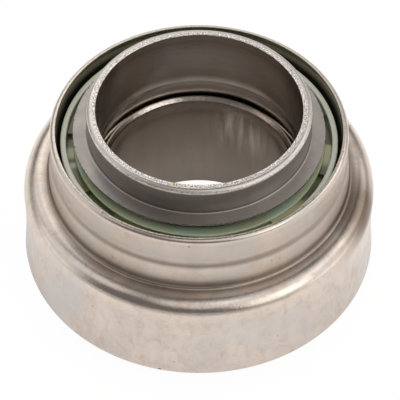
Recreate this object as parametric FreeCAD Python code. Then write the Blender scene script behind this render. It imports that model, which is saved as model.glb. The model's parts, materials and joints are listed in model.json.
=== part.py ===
"""Angular-contact ball bearing of drawn sheet steel, with a stepped shell and a plain guide sleeve.

A stepped shell holds one row of balls in its neck. The balls run on the flared foot of an inner ring,
whose collar stands out of the neck. A plain sleeve, carried in the shell's skirt by a dished disc,
lines the bore below that ring and stands out of the skirt at the bottom.

Millimetres, +Z up along the bearing's axis, origin at the centre of the sleeve's lower end.
"""
import FreeCAD
import Part

import math
import os

# Inner ring: collar, gently flared bore with a lip, and a foot that carries the ball race
BORE_RADIUS = 13.0
RING_SHEET = 1.25
RACE_RADIUS = 3.95
RACE_END_ANGLE = 55.0
FOOT_BELOW_RACE = 0.2
FLARE_OFFSET = 0.4
FLARE_LENGTH = 3.0
LIP_LENGTH = 0.9
LIP_ROUND = 0.15
COLLAR_ABOVE_RIM = 3.5
COLLAR_OUTER_ROUND = 0.6
COLLAR_INNER_ROUND = 0.12

# Ball row
BALL_DIAMETER = 3.7
BALL_COUNT = 10
FIRST_BALL_ANGLE = -66.0
CONTACT_ANGLE = 42.0
RACE_CLEARANCE = 0.08

# Stepped shell, drawn from sheet
SHELL_SHEET = 0.8
SKIRT_HEIGHT = 12.5
SKIRT_BELL = 0.72
SHOULDER_ROUND = 2.4
SHOULDER_LAND = 0.6
NECK_FOOT_FILLET = 0.45
NECK_TAPER = 7.0
BALL_ABOVE_SHOULDER = 2.63
WAIST_STEP = 0.375
WAIST_ABOVE_BALL = 0.73
WAIST_OUTER_ROUND = 1.0
WAIST_FILLET = 1.0
RIM_ABOVE_BALL = 5.62
RIM_OUTER_ROUND = 0.6
RIM_INNER_ROUND = 0.1

# Shield washer pressed on the collar
WASHER_THICKNESS = 0.35
WASHER_WIDTH = 1.8
WASHER_BELOW_RIM = 0.33
WASHER_DISH_ANGLE = 1.5
WASHER_FILLET = 0.15
WASHER_LIP = 0.05
PRESS_GAP = 0.02

# Moulded crown cage
POCKET_CLEARANCE = 0.12
CAGE_OUTER_MARGIN = 0.45
CAGE_INNER_MARGIN = 0.55
CAGE_ROOF = 0.45
CAGE_RIM_HEIGHT = 1.3
CAGE_RIM_WIDTH = 0.75
CAGE_RIM_ROUND = 0.2
CAGE_TROUGH_WIDTH = 0.9
CAGE_FLANGE_HEIGHT = 0.8
CAGE_FLANGE_ROUND = 0.15
CAGE_PAD_HEIGHT = 0.6
CAGE_PAD_ANGLE = 18.0
CAGE_PAD_ROOT = 0.2
FINGER_BELOW_BALL = 1.0
FINGER_TAPER = 0.65
FINGER_TAPER_RISE = 2.1
NOTCH_RADIUS = 1.6

# Guide sleeve
SLEEVE_SHEET = 1.0
SLEEVE_GAP = 0.3
SLEEVE_BELOW_RING = 0.13
SLEEVE_DROP = 4.0
SLEEVE_LEAD_IN = 0.25
SLEEVE_LEAD_LENGTH = 2.5
SLEEVE_OUTER_ROUND = 0.15
SLEEVE_BEVEL_WIDTH = 0.4
SLEEVE_BEVEL_HEIGHT = 0.45
SLEEVE_EDGE_CHAMFER = 0.2

# Carrier disc that holds the sleeve in the skirt
DISC_SHEET = 1.0
DISC_BEND = 2.0
DISC_HUB_LENGTH = 6.5
DISC_RIM_LENGTH = 5.0

# Heights above the sleeve's lower end
SHELL_BASE_Z = SLEEVE_DROP
SHOULDER_Z = SHELL_BASE_Z + SKIRT_HEIGHT
BALL_Z = SHOULDER_Z + BALL_ABOVE_SHOULDER
RIM_Z = BALL_Z + RIM_ABOVE_BALL
COLLAR_Z = RIM_Z + COLLAR_ABOVE_RIM

# Ball race on the inner ring, and the ball's place in it
BALL_RADIUS = BALL_DIAMETER / 2
COLLAR_RADIUS = BORE_RADIUS + RING_SHEET
LIP_BORE_RADIUS = BORE_RADIUS + FLARE_OFFSET
RACE_CENTRE_RADIUS = COLLAR_RADIUS + RACE_RADIUS
BALL_TO_RACE_CENTRE = RACE_RADIUS - BALL_RADIUS - RACE_CLEARANCE
PITCH_RADIUS = RACE_CENTRE_RADIUS - BALL_TO_RACE_CENTRE * math.cos(math.radians(CONTACT_ANGLE))
RACE_CENTRE_Z = BALL_Z + BALL_TO_RACE_CENTRE * math.sin(math.radians(CONTACT_ANGLE))
RACE_END_Z = RACE_CENTRE_Z - RACE_RADIUS * math.sin(math.radians(RACE_END_ANGLE))
RING_FOOT_Z = RACE_END_Z - FOOT_BELOW_RACE

# Radii of the shell, outwards from the ball row
TRACK_RADIUS = BALL_RADIUS + RACE_CLEARANCE
NECK_BORE_HIGH = PITCH_RADIUS + TRACK_RADIUS - WAIST_STEP
NECK_RADIUS_HIGH = NECK_BORE_HIGH + SHELL_SHEET


def neck_cone_radius(from_track, height):
    """Radius, at a height, of the cone that lies a distance outside the shell's ball track."""
    taper = math.radians(NECK_TAPER)
    return PITCH_RADIUS + (TRACK_RADIUS + from_track) / math.cos(taper) - (height - BALL_Z) * math.tan(taper)


NECK_FOOT_Z = SHOULDER_Z + NECK_FOOT_FILLET
FOOT_RADIUS = neck_cone_radius(SHELL_SHEET + NECK_FOOT_FILLET, NECK_FOOT_Z)
SHOULDER_ARC_RADIUS = FOOT_RADIUS + SHOULDER_LAND
SKIRT_RADIUS = SHOULDER_ARC_RADIUS + SHOULDER_ROUND
BASE_RADIUS = SKIRT_RADIUS + SKIRT_BELL

# Guide sleeve, measured inwards from the inner ring's lip
SLEEVE_RADIUS = LIP_BORE_RADIUS - SLEEVE_GAP
SLEEVE_BORE_RADIUS = SLEEVE_RADIUS - SLEEVE_SHEET


class HalfSection:
    """Outline of a round piece in the plane y = 0, drawn point by point and then revolved about Z."""

    def __init__(self, radius, height):
        self.start = FreeCAD.Vector(radius, 0, height)
        self.point = self.start
        self.edges = []

    def line(self, radius, height):
        """Go straight to a point."""
        target = FreeCAD.Vector(radius, 0, height)
        if target.distanceToPoint(self.point) > 1e-6:
            self.edges.append(Part.LineSegment(self.point, target).toShape())
        self.point = target

    def arc(self, centre_radius, centre_height, sweep):
        """Turn about a centre by an angle in degrees, positive from +X towards +Z."""
        centre = FreeCAD.Vector(centre_radius, 0, centre_height)
        middle = self._turned(centre, sweep / 2)
        target = self._turned(centre, sweep)
        self.edges.append(Part.Arc(self.point, middle, target).toShape())
        self.point = target

    def _turned(self, centre, sweep):
        arm = self.point - centre
        angle = math.radians(sweep)
        across = arm.x * math.cos(angle) - arm.z * math.sin(angle)
        up = arm.x * math.sin(angle) + arm.z * math.cos(angle)
        return centre + FreeCAD.Vector(across, 0, up)

    def revolve(self, sweep=360):
        """Close the outline and turn it about the bearing's axis."""
        self.line(self.start.x, self.start.z)
        face = Part.Face(Part.Wire(self.edges))
        return face.revolve(FreeCAD.Vector(0, 0, 0), FreeCAD.Vector(0, 0, 1), sweep)


def turned_about_axis(shape, angle):
    """Copy of a shape, turned about the bearing's axis by an angle in degrees."""
    copy = shape.copy()
    copy.rotate(FreeCAD.Vector(0, 0, 0), FreeCAD.Vector(0, 0, 1), angle)
    return copy


def outer_shell():
    """Bell-mouthed skirt, rounded shoulder, tapered neck with the ball track's waist, and rounded rim."""
    shoulder_arc_z = SHOULDER_Z - SHOULDER_ROUND
    skirt_rise = shoulder_arc_z - SHELL_BASE_Z
    bell_radius = (skirt_rise ** 2 + SKIRT_BELL ** 2) / (2 * SKIRT_BELL)
    bell_centre = SKIRT_RADIUS + bell_radius
    outer_bell_sweep = math.degrees(math.asin(skirt_rise / bell_radius))
    inner_bell_sweep = math.degrees(math.asin(skirt_rise / (bell_radius + SHELL_SHEET)))
    foot_sweep = 90 - NECK_TAPER
    foot_arc = SHELL_SHEET + NECK_FOOT_FILLET
    taper_across = math.cos(math.radians(NECK_TAPER))
    taper_up = math.sin(math.radians(NECK_TAPER))
    waist_z = BALL_Z + WAIST_ABOVE_BALL
    waist_radius = neck_cone_radius(SHELL_SHEET, waist_z)
    waist_fall = waist_radius - NECK_RADIUS_HIGH
    waist_reach = WAIST_OUTER_ROUND + WAIST_FILLET
    waist_across = (WAIST_OUTER_ROUND * taper_across + WAIST_FILLET - waist_fall) / waist_reach
    waist_angle = math.degrees(math.acos(waist_across))
    waist_arc_z = waist_z - WAIST_OUTER_ROUND * taper_up
    waist_top_z = waist_arc_z + waist_reach * math.sin(math.radians(waist_angle))
    track_angle = math.degrees(math.acos((NECK_BORE_HIGH - PITCH_RADIUS) / TRACK_RADIUS))
    track_top_z = BALL_Z + TRACK_RADIUS * math.sin(math.radians(track_angle))

    section = HalfSection(BASE_RADIUS, SHELL_BASE_Z)
    section.arc(bell_centre, shoulder_arc_z, -outer_bell_sweep)
    section.arc(SHOULDER_ARC_RADIUS, shoulder_arc_z, 90)
    section.line(FOOT_RADIUS, SHOULDER_Z)
    section.arc(FOOT_RADIUS, NECK_FOOT_Z, -foot_sweep)
    section.line(waist_radius, waist_z)
    section.arc(waist_radius - WAIST_OUTER_ROUND * taper_across, waist_arc_z, waist_angle - NECK_TAPER)
    section.arc(NECK_RADIUS_HIGH + WAIST_FILLET, waist_top_z, -waist_angle)
    section.line(NECK_RADIUS_HIGH, RIM_Z - RIM_OUTER_ROUND)
    section.arc(NECK_RADIUS_HIGH - RIM_OUTER_ROUND, RIM_Z - RIM_OUTER_ROUND, 90)
    section.line(NECK_BORE_HIGH + RIM_INNER_ROUND, RIM_Z)
    section.arc(NECK_BORE_HIGH + RIM_INNER_ROUND, RIM_Z - RIM_INNER_ROUND, 90)
    section.line(NECK_BORE_HIGH, track_top_z)
    section.arc(PITCH_RADIUS, BALL_Z, NECK_TAPER - track_angle)
    section.line(FOOT_RADIUS - foot_arc * taper_across, NECK_FOOT_Z - foot_arc * taper_up)
    section.arc(FOOT_RADIUS, NECK_FOOT_Z, foot_sweep)
    section.line(SHOULDER_ARC_RADIUS, SHOULDER_Z - SHELL_SHEET)
    section.arc(SHOULDER_ARC_RADIUS, shoulder_arc_z, -90)
    section.arc(bell_centre, shoulder_arc_z, inner_bell_sweep)
    return section.revolve()


def inner_ring():
    """Collar with a rounded rim, gently flared bore with a lip, and a foot with the balls' inner race."""
    flare_radius = (FLARE_LENGTH ** 2 + FLARE_OFFSET ** 2) / (4 * FLARE_OFFSET)
    flare_sweep = 2 * math.degrees(math.atan(FLARE_OFFSET / FLARE_LENGTH))
    lip_top_z = RING_FOOT_Z + LIP_LENGTH
    flare_top_z = lip_top_z + FLARE_LENGTH
    race_end_radius = RACE_CENTRE_RADIUS - RACE_RADIUS * math.cos(math.radians(RACE_END_ANGLE))
    outer_round_z = COLLAR_Z - COLLAR_OUTER_ROUND
    inner_round_z = COLLAR_Z - COLLAR_INNER_ROUND

    section = HalfSection(BORE_RADIUS, inner_round_z)
    section.line(BORE_RADIUS, flare_top_z)
    section.arc(BORE_RADIUS + flare_radius, flare_top_z, flare_sweep)
    section.arc(LIP_BORE_RADIUS - flare_radius, lip_top_z, -flare_sweep)
    section.line(LIP_BORE_RADIUS, RING_FOOT_Z + LIP_ROUND)
    section.arc(LIP_BORE_RADIUS + LIP_ROUND, RING_FOOT_Z + LIP_ROUND, 90)
    section.line(race_end_radius, RING_FOOT_Z)
    section.line(race_end_radius, RACE_END_Z)
    section.arc(RACE_CENTRE_RADIUS, RACE_CENTRE_Z, -RACE_END_ANGLE)
    section.line(COLLAR_RADIUS, outer_round_z)
    section.arc(COLLAR_RADIUS - COLLAR_OUTER_ROUND, outer_round_z, 90)
    section.line(BORE_RADIUS + COLLAR_INNER_ROUND, COLLAR_Z)
    section.arc(BORE_RADIUS + COLLAR_INNER_ROUND, inner_round_z, 90)
    return section.revolve()


def shield_washer():
    """Blanked and dished washer on the collar, with its inner edge swept up in a small fillet."""
    slope = math.tan(math.radians(WASHER_DISH_ANGLE))
    inner_radius = COLLAR_RADIUS + PRESS_GAP
    outer_radius = inner_radius + WASHER_WIDTH
    fillet_radius = inner_radius + WASHER_LIP + WASHER_FILLET
    top_z = RIM_Z - WASHER_BELOW_RIM
    edge_z = top_z - slope * (outer_radius - fillet_radius)
    lean = WASHER_THICKNESS / math.cos(math.radians(WASHER_DISH_ANGLE))

    section = HalfSection(inner_radius, top_z + WASHER_FILLET)
    section.line(inner_radius + WASHER_LIP, top_z + WASHER_FILLET)
    section.arc(fillet_radius, top_z + WASHER_FILLET, 90)
    section.line(outer_radius, edge_z)
    section.line(outer_radius, edge_z - lean)
    section.line(inner_radius, edge_z - lean + slope * WASHER_WIDTH)
    return section.revolve()


def crown_cage():
    """Moulded ring: outer rim, inner flange, trough with pads, ball pockets open below and snap fingers."""
    pocket_radius = BALL_RADIUS + POCKET_CLEARANCE
    outer_radius = NECK_BORE_HIGH - CAGE_OUTER_MARGIN
    rim_bore = outer_radius - CAGE_RIM_WIDTH
    inner_radius = COLLAR_RADIUS + CAGE_INNER_MARGIN
    floor_z = BALL_Z + pocket_radius + CAGE_ROOF
    finger_z = BALL_Z - FINGER_BELOW_BALL
    rim_round_z = floor_z + CAGE_RIM_HEIGHT - CAGE_RIM_ROUND
    flange_radius = rim_bore - CAGE_TROUGH_WIDTH
    flange_round_z = floor_z + CAGE_FLANGE_HEIGHT - CAGE_FLANGE_ROUND

    section = HalfSection(outer_radius, finger_z)
    section.line(outer_radius, rim_round_z)
    section.arc(outer_radius - CAGE_RIM_ROUND, rim_round_z, 90)
    section.line(rim_bore + CAGE_RIM_ROUND, rim_round_z + CAGE_RIM_ROUND)
    section.arc(rim_bore + CAGE_RIM_ROUND, rim_round_z, 90)
    section.line(rim_bore, floor_z)
    section.line(flange_radius, floor_z)
    section.line(flange_radius, flange_round_z)
    section.arc(flange_radius - CAGE_FLANGE_ROUND, flange_round_z, 90)
    section.line(inner_radius, flange_round_z + CAGE_FLANGE_ROUND)
    section.line(inner_radius, finger_z + FINGER_TAPER_RISE)
    section.line(inner_radius + FINGER_TAPER, finger_z)
    cage = section.revolve()

    pad_section = HalfSection(flange_radius - CAGE_PAD_ROOT, floor_z - CAGE_ROOF / 2)
    pad_section.line(rim_bore + CAGE_PAD_ROOT, floor_z - CAGE_ROOF / 2)
    pad_section.line(rim_bore + CAGE_PAD_ROOT, floor_z + CAGE_PAD_HEIGHT)
    pad_section.line(flange_radius - CAGE_PAD_ROOT, floor_z + CAGE_PAD_HEIGHT)
    pad = turned_about_axis(pad_section.revolve(CAGE_PAD_ANGLE), -CAGE_PAD_ANGLE / 2)

    pocket = Part.makeSphere(pocket_radius, FreeCAD.Vector(PITCH_RADIUS, 0, BALL_Z))
    notch_start = FreeCAD.Vector(0, 0, finger_z)
    notch_axis = FreeCAD.Vector(1, 0, 0)
    notch = Part.makeCylinder(NOTCH_RADIUS, outer_radius + NOTCH_RADIUS, notch_start, notch_axis)

    pitch = 360 / BALL_COUNT
    pads = [turned_about_axis(pad, ball_angle(index) + pitch / 2) for index in range(BALL_COUNT)]
    cuts = [turned_about_axis(pocket, ball_angle(index)) for index in range(BALL_COUNT)]
    cuts += [turned_about_axis(notch, ball_angle(index) + pitch / 2) for index in range(BALL_COUNT)]
    return cage.fuse(pads).cut(cuts).removeSplitter()


def ball_angle(index):
    """Angle of a ball about the axis, in degrees from +X."""
    return FIRST_BALL_ANGLE + index * 360 / BALL_COUNT


def ball(index):
    """One ball in its place on the pitch circle."""
    sphere = Part.makeSphere(BALL_RADIUS, FreeCAD.Vector(PITCH_RADIUS, 0, BALL_Z))
    return turned_about_axis(sphere, ball_angle(index))


def guide_sleeve():
    """Plain tube with a curved lead-in and a bevel inside its upper end."""
    top_z = RING_FOOT_Z - SLEEVE_BELOW_RING
    mouth_radius = SLEEVE_BORE_RADIUS + SLEEVE_LEAD_IN
    lead_radius = (SLEEVE_LEAD_LENGTH ** 2 + SLEEVE_LEAD_IN ** 2) / (2 * SLEEVE_LEAD_IN)
    lead_angle = math.asin(SLEEVE_LEAD_LENGTH / lead_radius)
    outer_round_z = top_z - SLEEVE_OUTER_ROUND
    mouth_z = top_z - SLEEVE_BEVEL_HEIGHT

    section = HalfSection(SLEEVE_BORE_RADIUS + SLEEVE_EDGE_CHAMFER, 0)
    section.line(SLEEVE_RADIUS - SLEEVE_EDGE_CHAMFER, 0)
    section.line(SLEEVE_RADIUS, SLEEVE_EDGE_CHAMFER)
    section.line(SLEEVE_RADIUS, outer_round_z)
    section.arc(SLEEVE_RADIUS - SLEEVE_OUTER_ROUND, outer_round_z, 90)
    section.line(mouth_radius + SLEEVE_BEVEL_WIDTH, top_z)
    section.line(mouth_radius, mouth_z)
    section.arc(SLEEVE_BORE_RADIUS + lead_radius, mouth_z - SLEEVE_LEAD_LENGTH, math.degrees(lead_angle))
    section.line(SLEEVE_BORE_RADIUS, SLEEVE_EDGE_CHAMFER)
    return section.revolve()


def carrier_disc():
    """Dished disc under the shoulder: hub turned down along the sleeve, rim turned down along the skirt."""
    top_z = SHOULDER_Z - SHELL_SHEET - PRESS_GAP
    hub_bore = SLEEVE_RADIUS + PRESS_GAP
    rim_radius = SKIRT_RADIUS - SHELL_SHEET - PRESS_GAP
    bend_z = top_z - DISC_BEND
    inner_bend = DISC_BEND - DISC_SHEET

    section = HalfSection(hub_bore, top_z - DISC_HUB_LENGTH)
    section.line(hub_bore, bend_z)
    section.arc(hub_bore + DISC_BEND, bend_z, -90)
    section.line(rim_radius - DISC_BEND, top_z)
    section.arc(rim_radius - DISC_BEND, bend_z, -90)
    section.line(rim_radius, top_z - DISC_RIM_LENGTH)
    section.line(rim_radius - DISC_SHEET, top_z - DISC_RIM_LENGTH)
    section.line(rim_radius - DISC_SHEET, bend_z)
    section.arc(rim_radius - DISC_BEND, bend_z, 90)
    section.line(hub_bore + DISC_BEND, bend_z + inner_bend)
    section.arc(hub_bore + DISC_BEND, bend_z, 90)
    section.line(hub_bore + DISC_SHEET, top_z - DISC_HUB_LENGTH)
    return section.revolve()


def main():
    """Build every piece in its place and write one file for each."""
    pieces = {
        "outer_shell": outer_shell(),
        "carrier_disc": carrier_disc(),
        "guide_sleeve": guide_sleeve(),
        "inner_ring": inner_ring(),
        "shield_washer": shield_washer(),
        "ball_cage": crown_cage(),
    }
    for index in range(BALL_COUNT):
        pieces[f"ball_{index + 1:02d}"] = ball(index)

    os.makedirs("parts", exist_ok=True)
    for name, shape in pieces.items():
        shape.exportStep(f"parts/{name}.step")
        print(f"{name}: valid {shape.isValid()}, {len(shape.Solids)} solid, {shape.Volume:.2f} mm3")


main()
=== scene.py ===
"""Looks of a drawn-steel ball bearing with a guide sleeve: fine edges, finishes, floor, light and camera.

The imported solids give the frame. Each sub-assembly turns the same half sections at a finer pitch, with worn
and sheared edges, and stands for its solids. Sizes are in millimetres; Blender's own lengths are in metres.
"""

import json
import logging
import math
from dataclasses import dataclass
from enum import Enum
from typing import Any, TypeAlias

import bpy
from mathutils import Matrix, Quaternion, Vector

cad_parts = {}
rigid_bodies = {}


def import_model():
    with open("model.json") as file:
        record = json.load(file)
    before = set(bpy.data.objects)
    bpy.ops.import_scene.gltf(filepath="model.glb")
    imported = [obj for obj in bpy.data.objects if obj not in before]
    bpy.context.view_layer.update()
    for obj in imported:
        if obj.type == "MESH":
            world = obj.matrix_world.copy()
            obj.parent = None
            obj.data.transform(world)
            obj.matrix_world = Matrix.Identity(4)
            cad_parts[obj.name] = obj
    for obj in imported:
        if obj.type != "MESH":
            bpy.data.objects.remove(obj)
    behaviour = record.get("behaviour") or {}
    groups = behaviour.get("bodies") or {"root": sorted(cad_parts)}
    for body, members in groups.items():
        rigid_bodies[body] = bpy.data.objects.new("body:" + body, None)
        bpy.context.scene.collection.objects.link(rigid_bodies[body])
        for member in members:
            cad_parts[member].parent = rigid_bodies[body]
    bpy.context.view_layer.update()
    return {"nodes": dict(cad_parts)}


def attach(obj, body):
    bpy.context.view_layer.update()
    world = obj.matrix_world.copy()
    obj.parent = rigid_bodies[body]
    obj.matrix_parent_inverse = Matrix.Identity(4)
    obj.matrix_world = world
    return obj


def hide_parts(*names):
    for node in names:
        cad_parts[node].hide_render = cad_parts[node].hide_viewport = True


Tree: TypeAlias = bpy.types.NodeTree
Socket: TypeAlias = bpy.types.NodeSocket
Levels: TypeAlias = tuple[tuple[float, float], ...]
Marks: TypeAlias = tuple[tuple[float, float, float], ...]

LOG = logging.getLogger("ball_bearing")
MM = 0.001


class Body(Enum):
    """Rigid bodies that the pieces ride on."""

    SHELL = "shell"
    RING = "ring"


class Ease(Enum):
    """How a share changes between two levels."""

    EVEN = "LINEAR"
    SOFT = "SMOOTHSTEP"


def linear(hex_colour: str) -> tuple[float, float, float, float]:
    """Turn an sRGB hex colour into linear light.

    Args:
        hex_colour: six hex digits.

    Returns:
        Red, green, blue and an alpha of 1, in linear light.
    """
    channels = [int(hex_colour[start:start + 2], 16) / 255 for start in (0, 2, 4)]
    light = [value / 12.92 if value <= 0.04045 else ((value + 0.055) / 1.055) ** 2.4 for value in channels]
    return light[0], light[1], light[2], 1.0


def heading_at(azimuth: float) -> tuple[float, float, float]:
    """Give the level direction at an azimuth in degrees."""
    return math.cos(math.radians(azimuth)), math.sin(math.radians(azimuth)), 0.0


def add_node(tree: Tree, kind: str, inputs: dict[Any, Any] | None = None, **settings: Any) -> bpy.types.Node:
    """Add a node to a tree, with its settings, values and links.

    Args:
        tree: the node tree.
        kind: the node's type name.
        inputs: value or output socket for each input, by name or index.
        settings: the node's own properties.

    Returns:
        The new node.
    """
    node = tree.nodes.new(kind)
    for name, value in settings.items():
        setattr(node, name, value)
    for key, value in (inputs or {}).items():
        if isinstance(value, bpy.types.NodeSocket):
            tree.links.new(value, node.inputs[key])
        else:
            node.inputs[key].default_value = value
    return node


def empty_tree(owner: bpy.types.Material | bpy.types.World) -> Tree:
    """Give a material or a world a node tree with nothing in it.

    Args:
        owner: the material or the world.

    Returns:
        The empty tree.
    """
    owner.use_nodes = True
    owner.node_tree.nodes.clear()
    return owner.node_tree


def add_object(name: str, data: bpy.types.ID) -> bpy.types.Object:
    """Add an object to the scene.

    Args:
        name: the object's name.
        data: its mesh, lamp or camera.

    Returns:
        The new object, at the origin.
    """
    added = bpy.data.objects.new(name, data)
    bpy.context.scene.collection.objects.link(added)
    return added


def shape_tree(name: str, inputs: dict[str, str]) -> tuple[Tree, Any]:
    """Start a tree that makes a piece's shape.

    Args:
        name: the tree's name.
        inputs: kind of each input, by name.

    Returns:
        The tree, and the sockets that give its inputs.
    """
    tree = bpy.data.node_groups.new(name, "GeometryNodeTree")
    for label, kind in inputs.items():
        tree.interface.new_socket(label, in_out="INPUT", socket_type=f"NodeSocket{kind}")
    tree.interface.new_socket("Piece", in_out="OUTPUT", socket_type="NodeSocketGeometry")
    return tree, add_node(tree, "NodeGroupInput").outputs


def evaluated(name: str, base: bpy.types.Mesh, tree: Tree, values: dict[str, Any]) -> bpy.types.Object:
    """Run a node tree on a mesh and keep the result as a plain mesh object at the origin.

    Args:
        name: the new object's name.
        base: the mesh that the tree starts from.
        tree: the node tree.
        values: value for each named input of the tree.

    Returns:
        The finished object, with no modifier.
    """
    maker = add_object(f"{name}_maker", base)
    modifier = maker.modifiers.new("shape", "NODES")
    modifier.node_group = tree
    sockets = {item.name: item.identifier for item in tree.interface.items_tree if item.in_out == "INPUT"}
    for key, value in values.items():
        modifier[sockets[key]] = value
    graph = bpy.context.evaluated_depsgraph_get()
    mesh = bpy.data.meshes.new_from_object(maker.evaluated_get(graph), preserve_all_data_layers=True,
                                           depsgraph=graph)
    mesh.name = name
    bpy.data.objects.remove(maker)
    return add_object(name, mesh)


@dataclass(frozen=True)
class SectionPoint:
    """One point of a half section: radius, height, and how worn a sheared edge is there, which also sets the
    glints and highlight painted on it (0 to 1).
    """

    radius: float
    height: float
    wear_and_highlight: float = 0.0

    def gap(self, radius: float, height: float) -> float:
        """Give the distance to a place in the section."""
        return math.hypot(radius - self.radius, height - self.height)


class HalfSection:
    """Outline of a round piece in radius and height, drawn point by point."""

    SAME_PLACE = 1e-6
    FEWEST_ARC_STEPS = 4

    def __init__(self, radius: float, height: float, pitch: float = 0.25) -> None:
        """Start the outline.

        Args:
            radius: first point's radius.
            height: first point's height.
            pitch: longest step along an arc.
        """
        self.points = [SectionPoint(radius, height)]
        self.pitch = pitch

    def line(self, radius: float, height: float, steps: int = 1, wear_and_highlight: float = 0.0) -> None:
        """Go straight to a point.

        Args:
            radius: the point's radius.
            height: the point's height.
            steps: number of equal steps.
            wear_and_highlight: how worn the edge is on the way, which also sets the glints and highlight
                painted on it.
        """
        start = self.points[-1]
        if start.gap(radius, height) < self.SAME_PLACE:
            return
        for step in range(1, steps + 1):
            share = step / steps
            self.points.append(SectionPoint(start.radius + share * (radius - start.radius),
                                            start.height + share * (height - start.height), wear_and_highlight))

    def arc(self, centre_radius: float, centre_height: float, sweep: float, wear_and_highlight: float = 0.0) -> None:
        """Turn about a centre.

        Args:
            centre_radius: the centre's radius.
            centre_height: the centre's height.
            sweep: angle in degrees, positive from outwards to upwards.
            wear_and_highlight: how worn the edge is on the way, which also sets the glints and highlight
                painted on it.
        """
        start = self.points[-1]
        across, up = start.radius - centre_radius, start.height - centre_height
        length = math.hypot(across, up) * abs(math.radians(sweep))
        steps = max(self.FEWEST_ARC_STEPS, math.ceil(length / self.pitch))
        for step in range(1, steps + 1):
            angle = math.radians(sweep) * step / steps
            self.points.append(SectionPoint(
                centre_radius + across * math.cos(angle) - up * math.sin(angle),
                centre_height + across * math.sin(angle) + up * math.cos(angle), wear_and_highlight))

    def outline(self) -> list[SectionPoint]:
        """Close the outline.

        Returns:
            The points once round, clockwise in radius and height.
        """
        points = self.points
        if points[0].gap(points[-1].radius, points[-1].height) < self.SAME_PLACE:
            points = points[:-1]
        area = sum(point.radius * after.height - after.radius * point.height
                   for point, after in zip(points, points[1:] + points[:1]))
        return points if area < 0 else points[::-1]


@dataclass(frozen=True)
class TurningTree:
    """Node tree that turns a half section about the axis and crumbles its sheared edges."""

    path_radius: float = 16.0
    sharp_angle: float = 35.0
    chip_width: float = 0.35

    def build(self) -> Tree:
        """Build the tree.

        Returns:
            A tree whose inputs are the section, the number of steps round, the depth of the chips, a seed
            and the material.
        """
        inputs = {"Section": "Geometry", "Steps": "Int", "Chip Depth": "Float", "Seed": "Float",
                  "Material": "Material"}
        tree, given = shape_tree("turned_piece", inputs)
        section = add_node(tree, "GeometryNodeMeshToCurve", {"Mesh": given["Section"]})
        path = add_node(tree, "GeometryNodeCurvePrimitiveCircle",
                        {"Resolution": given["Steps"], "Radius": self.path_radius * MM}, mode="RADIUS")
        upright = add_node(tree, "GeometryNodeSetCurveNormal", {"Curve": path.outputs["Curve"]}, mode="Z_UP")
        turned = add_node(tree, "GeometryNodeCurveToMesh",
                          {"Curve": upright.outputs["Curve"], "Profile Curve": section.outputs["Curve"]})

        wear_and_highlight = add_node(tree, "GeometryNodeInputNamedAttribute", {"Name": "wear_and_highlight"}, data_type="FLOAT")
        place = add_node(tree, "GeometryNodeInputPosition")
        chips = add_node(tree, "ShaderNodeTexNoise",
                         {"Vector": place.outputs[0], "W": given["Seed"], "Scale": 1 / (self.chip_width * MM),
                          "Detail": 4.0, "Roughness": 0.7}, noise_dimensions="4D")
        bite = add_node(tree, "ShaderNodeMapRange",
                        {"Value": chips.outputs[0], "From Min": 0.35, "From Max": 0.75,
                         "To Min": 0.0, "To Max": -1.0})
        depth = add_node(tree, "ShaderNodeMath", {0: bite.outputs[0], 1: given["Chip Depth"]},
                         operation="MULTIPLY")
        local = add_node(tree, "ShaderNodeMath", {0: depth.outputs[0], 1: wear_and_highlight.outputs[0]},
                         operation="MULTIPLY")
        outward = add_node(tree, "GeometryNodeInputNormal")
        offset = add_node(tree, "ShaderNodeVectorMath", {0: outward.outputs[0], "Scale": local.outputs[0]},
                          operation="SCALE")
        worn = add_node(tree, "GeometryNodeSetPosition",
                        {"Geometry": turned.outputs[0], "Offset": offset.outputs[0]})

        smooth = add_node(tree, "GeometryNodeSetShadeSmooth", {"Geometry": worn.outputs[0]}, domain="FACE")
        bend = add_node(tree, "GeometryNodeInputMeshEdgeAngle")
        corner = add_node(tree, "FunctionNodeCompare",
                          {"A": bend.outputs["Unsigned Angle"], "B": math.radians(self.sharp_angle)},
                          data_type="FLOAT", operation="GREATER_THAN")
        creased = add_node(tree, "GeometryNodeSetShadeSmooth",
                           {"Geometry": smooth.outputs[0], "Selection": corner.outputs[0],
                            "Shade Smooth": False}, domain="EDGE")
        whole = add_node(tree, "GeometryNodeRealizeInstances", {"Geometry": creased.outputs[0]})
        dressed = add_node(tree, "GeometryNodeSetMaterial",
                           {"Geometry": whole.outputs[0], "Material": given["Material"]})
        add_node(tree, "NodeGroupOutput", {"Piece": dressed.outputs[0]})
        return tree

    def section_mesh(self, section: HalfSection) -> bpy.types.Mesh:
        """Make a loop of edges from a half section, laid out as the tree's path carries it.

        Args:
            section: the half section, in millimetres.

        Returns:
            A mesh of one closed loop, with each point's share of wear and painted highlight on it.
        """
        points = section.outline()
        mesh = bpy.data.meshes.new("section")
        places = [((point.radius - self.path_radius) * MM, -point.height * MM, 0) for point in points]
        mesh.from_pydata(places, [(index, (index + 1) % len(points)) for index in range(len(points))], [])
        layer = mesh.attributes.new("wear_and_highlight", "FLOAT", "POINT")
        layer.data.foreach_set("value", [point.wear_and_highlight for point in points])
        return mesh


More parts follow.
